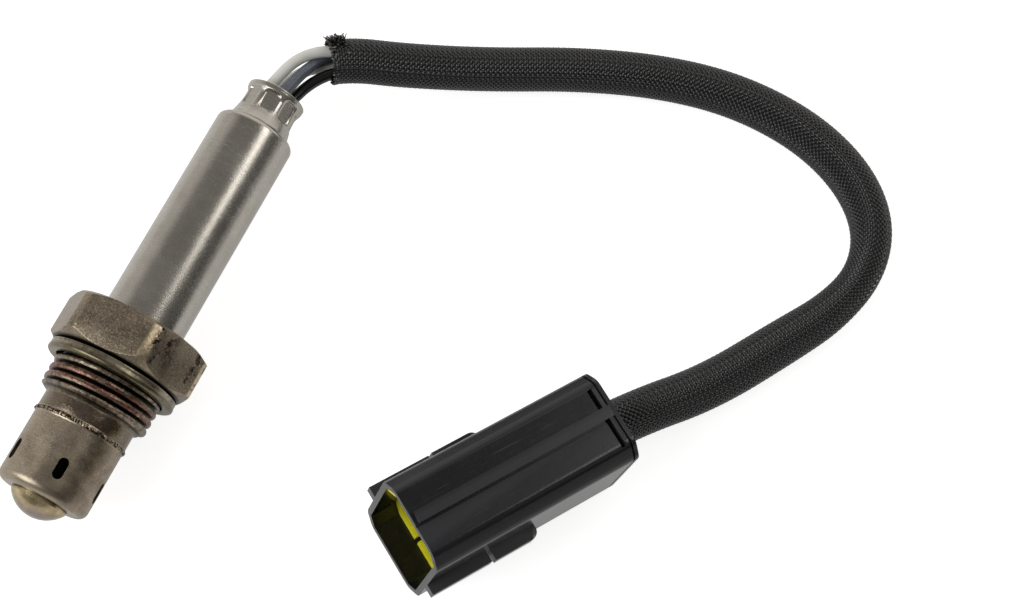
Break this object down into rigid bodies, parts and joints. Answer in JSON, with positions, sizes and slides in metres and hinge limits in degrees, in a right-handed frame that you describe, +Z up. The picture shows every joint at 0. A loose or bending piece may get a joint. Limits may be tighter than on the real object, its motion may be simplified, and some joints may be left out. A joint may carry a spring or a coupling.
{
  "type": "heated oxygen sensor",
  "caption": "Four-wire heated exhaust oxygen sensor with a hexagonal steel body, a braided lead and a male-pin connector, lying on its side.",
  "frame": {"origin": "centre of the gasket's sealing face, on the axis of the thread", "axes": "+Y along the sensor from its nose to its leads, +Z up, with the sensor lying on one flat of its hexagon"},
  "size_m": [0.1148, 0.1185, 0.0268],
  "materials": {
    "body_steel": "heat-tinted, finely blasted",
    "gasket_steel": "satin with a yellowish tint",
    "shield_steel": "satin, faint turning marks",
    "tip_steel": "satin, golden tint",
    "sleeve_steel": "satin drawn steel",
    "inner_steel": "satin",
    "zirconia": "matte",
    "heater_ceramic": "matte",
    "white_ceramic": "matte",
    "pressed_talc": "matte",
    "grommet_rubber": "matte",
    "lead_white": "semi-matte",
    "lead_grey": "semi-matte",
    "lead_black": "glossy",
    "woven_sleeve": "woven, slightly glossy strands",
    "housing_plastic": "semi-gloss",
    "insert_plastic": "semi-gloss",
    "retainer_plastic": "matte",
    "seal_rubber": "matte",
    "pin_metal": "tinned"
  },
  "bodies": {
    "root": {"hex_shell": "body_steel", "gasket_ring": "gasket_steel", "outer_shield": "shield_steel", "inner_shield": "tip_steel", "sensing_element": "zirconia", "heater_rod": "heater_ceramic", "seat_washer": "inner_steel", "talc_seal": "pressed_talc", "insulator_ring": "white_ceramic", "crimp_ring": "inner_steel", "outer_contact": "inner_steel", "inner_contact": "inner_steel", "heater_contact_1": "inner_steel", "heater_contact_2": "inner_steel", "contact_carrier": "white_ceramic", "disc_spring": "inner_steel", "rear_sleeve": "sleeve_steel", "grommet": "grommet_rubber", "lead_white_1": "lead_white", "lead_grey": "lead_grey", "lead_black": "lead_black", "lead_white_2": "lead_white", "wire_ferrule_1": "inner_steel", "wire_ferrule_2": "inner_steel", "wire_ferrule_3": "inner_steel", "wire_ferrule_4": "inner_steel", "braided_sleeve": "woven_sleeve", "connector_housing": "housing_plastic", "lock_insert": "insert_plastic", "seal_mat": "seal_rubber", "seal_retainer": "retainer_plastic", "pin_terminal_1": "pin_metal", "pin_terminal_2": "pin_metal", "pin_terminal_3": "pin_metal", "pin_terminal_4": "pin_metal"}
  },
  "joints": []
}
